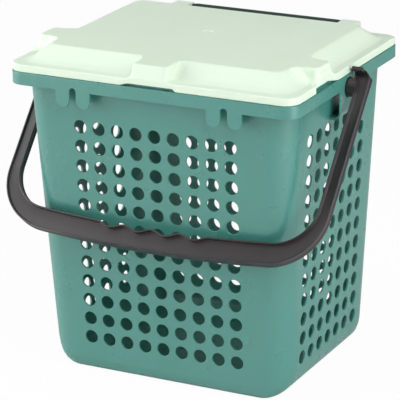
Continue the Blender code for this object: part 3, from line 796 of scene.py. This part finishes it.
def cornerPoints(armX, corner, middle):
    # the bend from the bowed bar, which reaches middle, to an arm at armX
    h = handleSizes
    centreX = armX - corner
    bowEnd = centreX / (1 - corner / h["bow"])
    tilt = (bowEnd - centreX) / corner
    centreReach = middle - bowEnd**2 / (2 * h["bow"]) - corner * sqrt(1 - tilt**2)
    first = acos(tilt)
    turns = [first * (1 - i / h["cornerSteps"]) for i in range(h["cornerSteps"] + 1)]
    return [(centreX + corner * cos(a), centreReach + corner * sin(a)) for a in turns]


def handleStations():
    # half the handle, from the bar's middle to the head: outer point, inner point, thickness
    h = handleSizes
    gripHalf = h["fingers"] * h["fingerPitch"] / 2
    barEnd = h["armOuter"] - h["outerCorner"]
    gripSteps = h["stepsPerFinger"] * h["fingers"] // 2
    places = [i * gripHalf / gripSteps for i in range(gripSteps + 1)]
    steps = h["straightSteps"]
    places += [gripHalf + (barEnd - gripHalf) * i / steps for i in range(1, steps)]
    stations = []
    for x in places:
        bow = x**2 / (2 * h["bow"])
        inner = h["reach"] - h["barWidth"] - bow + fingerWave(x)
        stations.append(((x, h["reach"] - bow), (x, inner), h["barThick"]))
    corners = zip(cornerPoints(h["armOuter"], h["outerCorner"], h["reach"]),
                  cornerPoints(h["armInner"], h["innerCorner"], h["reach"] - h["barWidth"]))
    for i, (outer, inner) in enumerate(corners):
        share = i / h["cornerSteps"]
        stations.append((outer, inner, h["barThick"] + (h["armThick"] - h["barThick"]) * share))
    # the straight arm, the flared head and the chamfer at its end
    start, chamferAt = stations[-1][0][1], h["headChamfer"] - h["headLength"]
    reaches = []
    for low, high, count in ((start, h["headStart"], steps), (h["headStart"], chamferAt, steps),
                             (chamferAt, -h["headLength"], h["chamferSteps"])):
        reaches += [low + (high - low) * i / count for i in range(1, count + 1)]
    lean = h["headFlare"] / (h["headStart"] + h["headLength"])
    for reach in reaches:
        outer = h["armOuter"] - max(chamferAt - reach, 0)
        inner = h["armInner"] - lean * max(h["headStart"] - reach, 0)
        stations.append(((outer, reach), (inner, reach), h["armThick"]))
    return stations


def handleSection(width, thickness):
    # ridges along both edges of both faces, a web between them and a channel in each side
    h = handleSizes
    ridge, r, rise, draft = h["ridge"], h["round"], h["lipRise"], h["ridgeDraft"]
    bend = r * cornerShare
    recess = thickness * (1 - h["web"]) / 2
    front, back = h["face"], h["face"] - thickness
    lip = min(h["lip"], thickness * h["lipShare"])
    half = [
        (h["channel"], front - lip - rise), (0, front - lip), (0, front - r), (bend, front - bend),
        (r, front), (ridge - r, front), (ridge - bend, front - bend), (ridge, front - r),
        (ridge + draft, front - recess + rise), (ridge + draft + rise, front - recess),
    ]
    frontHalf = half + [(width - a, v) for a, v in reversed(half)]
    return frontHalf + [(a, front + back - v) for a, v in reversed(frontHalf)]


def handlePoint(x, reach, height):
    # from the handle drawn flat to the handle as it hangs from the pivot
    turn, r = radians(handleSizes["hang"]), rimSizes
    y = r["pivotY"] - reach * cos(turn) - height * sin(turn)
    return (x, y, r["pivotHeight"] - reach * sin(turn) + height * cos(turn))


def makeHandle():
    half = handleStations()
    other = [((-o[0], o[1]), (-i[0], i[1]), t) for o, i, t in reversed(half[1:])]
    rows = []
    for outer, inner, thickness in other + half:
        width = hypot(outer[0] - inner[0], outer[1] - inner[1])
        row = []
        for a, height in handleSection(width, thickness):
            share = a / width
            x = inner[0] + (outer[0] - inner[0]) * share
            reach = inner[1] + (outer[1] - inner[1]) * share
            row.append(handlePoint(x, reach, height))
        rows.append(row)
    points, faces = layRows(rows)
    crisp = shading["flowing"]
    handle = makePiece("handleFrame", points, faces, "handle", "handle_black", warmBlack, crisp)
    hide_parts("handle")


def makeHubs():
    # a hub inside each head, and the pin from it through the rim band
    h, d, r = handleSizes, headSizes, rimSizes
    start, soft, face = d["capFrom"], d["round"], h["armInner"] + h["ridge"]
    bend = soft * cornerShare
    profile = [(d["pinTip"], d["pin"] - 2 * soft), (d["pinTip"] + soft, d["pin"]), (start, d["pin"]),
               (start, d["hub"] - soft), (start + bend, d["hub"] - bend), (start + soft, d["hub"]),
               (face, d["hub"])]
    right = turnedShape(profile, r["pivotY"], r["pivotHeight"], d["sides"])
    points, faces = joinShapes([right, mirrorShape(right)])
    makePiece("handleHubs", points, faces, "handle", "handle_black", warmBlack, shading["turned"])


def makeCaps():
    # a cap at the end of each head that stands out over the rim's edge
    h, d = handleSizes, headSizes
    low, high = d["capFrom"], d["capFrom"] + d["capWidth"]
    neck = h["armInner"] - h["headFlare"] / 2
    tipFoot = d["capHeight"] - d["capTip"]
    foot = h["face"] - h["armThick"] + d["capOverlap"]
    outline = [(low, tipFoot), (low + d["capTip"] / 2, d["capHeight"]), (high, d["capHeight"]),
               (high, foot), (neck, foot), (neck, tipFoot)]
    right = prismShape(outline, "Y", h["headLength"] - d["capLength"], h["headLength"] + d["capOverlap"])
    points, faces = joinShapes([right, mirrorShape(right)])
    points = [handlePoint(x, -y, z) for x, y, z in points]
    caps = makePiece("handleCaps", points, faces, "handle", "handle_black", warmBlack)
    softenEdges(caps, d["round"])


makeHandle()
makeHubs()
makeCaps()
print("handle made")


# Floor, light and camera

stageSizes = {"floor": 14, "floorGrey": 0.86, "floorRough": 0.9, "glow": 0.96}
lampSettings = {
    "world": 0.033, "aim": 0.14,
    "lamps": {
        "left": {"azimuth": -80, "elevation": 12, "reach": 1.7, "size": 1.3, "power": 12},
        "frontLeft": {"azimuth": -50, "elevation": 8, "reach": 1.7, "size": 1.3, "power": 19},
        "right": {"azimuth": 76, "elevation": 10, "reach": 1.1, "size": 0.7, "power": 4.6},
        "upperRight": {"azimuth": 60, "elevation": 42, "reach": 1.7, "size": 1.3, "power": 16},
        "top": {"azimuth": 0, "elevation": 88, "reach": 1.7, "size": 2.2, "power": 11},
        "back": {"azimuth": 190, "elevation": 35, "reach": 1.7, "size": 1.3, "power": 1.5},
        "handleGleam": {"azimuth": -60, "elevation": 46, "reach": 0.8, "size": 0.26, "power": 0.75},
    },
}
cameraSettings = {
    "place": (0.908143, -1.776677, 0.828314), "azimuth": 27.28061127, "elevation": 19.1234096,
    "roll": -0.90013803, "lens": 225.135, "sensor": 36, "near": 0.1, "far": 40,
}


def makeFloor():
    # white paper that shows its own white to the camera and still takes the caddy's shadow
    half = stageSizes["floor"] / 2
    mesh = bpy.data.meshes.new("floor")
    corners = [(-half, -half, 0), (half, -half, 0), (half, half, 0), (-half, half, 0)]
    mesh.from_pydata(corners, [], [(0, 1, 2, 3)])
    floor = bpy.data.objects.new("floor", mesh)
    bpy.context.scene.collection.objects.link(floor)
    paper = bpy.data.materials.new("white paper")
    paper.use_nodes = True
    tree = paper.node_tree
    shader, output = tree.nodes["Principled BSDF"], tree.nodes["Material Output"]
    grey = stageSizes["floorGrey"]
    shader.inputs["Base Color"].default_value = (grey, grey, grey, 1)
    shader.inputs["Roughness"].default_value = stageSizes["floorRough"]
    seen = tree.nodes.new("ShaderNodeLightPath")
    glow = tree.nodes.new("ShaderNodeEmission")
    share = tree.nodes.new("ShaderNodeMath")
    share.operation = "MULTIPLY"
    share.inputs[1].default_value = stageSizes["glow"]
    blend = tree.nodes.new("ShaderNodeMixShader")
    tree.links.new(seen.outputs["Is Camera Ray"], share.inputs[0])
    tree.links.new(share.outputs["Value"], blend.inputs["Fac"])
    tree.links.new(shader.outputs["BSDF"], blend.inputs[1])
    tree.links.new(glow.outputs["Emission"], blend.inputs[2])
    tree.links.new(blend.outputs["Shader"], output.inputs["Surface"])
    mesh.materials.append(paper)


def makeWorld():
    # a white room to the camera, and a faint even light on the caddy
    world = bpy.data.worlds.new("white room")
    bpy.context.scene.world = world
    world.use_nodes = True
    tree = world.node_tree
    light = tree.nodes["Background"]
    light.inputs["Color"].default_value = (1, 1, 1, 1)
    light.inputs["Strength"].default_value = lampSettings["world"]
    white = tree.nodes.new("ShaderNodeBackground")
    white.inputs["Color"].default_value = (1, 1, 1, 1)
    seen = tree.nodes.new("ShaderNodeLightPath")
    blend = tree.nodes.new("ShaderNodeMixShader")
    tree.links.new(seen.outputs["Is Camera Ray"], blend.inputs["Fac"])
    tree.links.new(light.outputs["Background"], blend.inputs[1])
    tree.links.new(white.outputs["Background"], blend.inputs[2])
    tree.links.new(blend.outputs["Shader"], tree.nodes["World Output"].inputs["Surface"])


def makeLamp(name, settings):
    # a soft square lamp, aimed at the caddy's middle
    lamp = bpy.data.lights.new(name, "AREA")
    lamp.shape, lamp.size, lamp.energy = "SQUARE", settings["size"], settings["power"]
    stand = bpy.data.objects.new(name, lamp)
    bpy.context.scene.collection.objects.link(stand)
    a, e, reach = radians(settings["azimuth"]), radians(settings["elevation"]), settings["reach"]
    aimed = Vector((0, 0, lampSettings["aim"]))
    stand.location = aimed + reach * Vector((sin(a) * cos(e), -cos(a) * cos(e), sin(e)))
    aim = aimed - stand.location
    stand.rotation_mode = "QUATERNION"
    stand.rotation_quaternion = aim.to_track_quat("-Z", "Y")


def makeCamera():
    c = cameraSettings
    azimuth, elevation, roll = (radians(c[key]) for key in ("azimuth", "elevation", "roll"))
    back = Vector((sin(azimuth) * cos(elevation), -cos(azimuth) * cos(elevation), sin(elevation)))
    level = Vector((0, 0, 1)).cross(back).normalized()
    upright = back.cross(level)
    right = level * cos(roll) + upright * sin(roll)
    up = upright * cos(roll) - level * sin(roll)
    view = bpy.data.cameras.new("camera")
    view.lens, view.sensor_width = c["lens"], c["sensor"]
    view.clip_start, view.clip_end = c["near"], c["far"]
    camera = bpy.data.objects.new("camera", view)
    bpy.context.scene.collection.objects.link(camera)
    camera.matrix_world = Matrix.Translation(c["place"]) @ Matrix((right, up, back)).transposed().to_4x4()
    bpy.context.scene.camera = camera


makeFloor()
makeWorld()
for lampName, lampValues in lampSettings["lamps"].items():
    makeLamp(lampName, lampValues)
makeCamera()
bpy.context.scene.view_settings.view_transform = "Standard"
print("stage lit")
